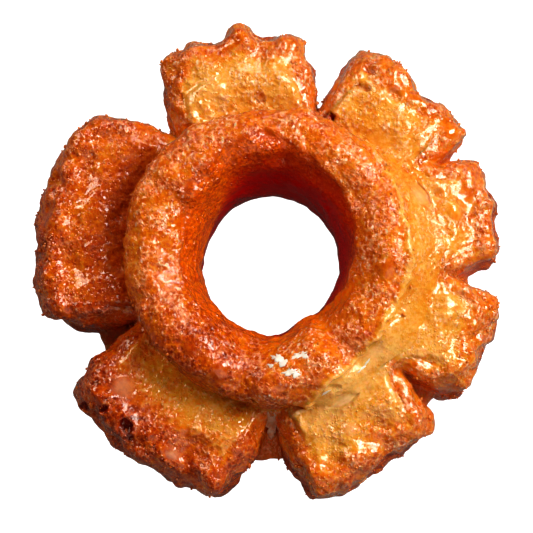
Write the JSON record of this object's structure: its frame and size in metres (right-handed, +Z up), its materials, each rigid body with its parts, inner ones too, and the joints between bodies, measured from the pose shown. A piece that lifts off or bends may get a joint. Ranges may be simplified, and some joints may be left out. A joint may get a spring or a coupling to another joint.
{
  "type": "old fashioned doughnut",
  "caption": "Old fashioned cake doughnut: a raised crown ring round an open hole, with cracked-open petals round it, fried brown and sugar glazed.",
  "frame": {"origin": "centre of the bounding box at the foot; the middle of the hole is 0.7 mm to +X and 0.7 mm to -Y of it", "axes": "+Z up through the hole, +X to the right and +Y away from the viewer in the picture"},
  "size_m": [0.0892, 0.0912, 0.0307],
  "materials": {
    "fried_crust": "fried cake crust, amber brown with paler golden crumb where it cracked, under a thin clear sugar glaze"
  },
  "bodies": {
    "root": {"doughnut": "fried_crust"}
  },
  "joints": []
}
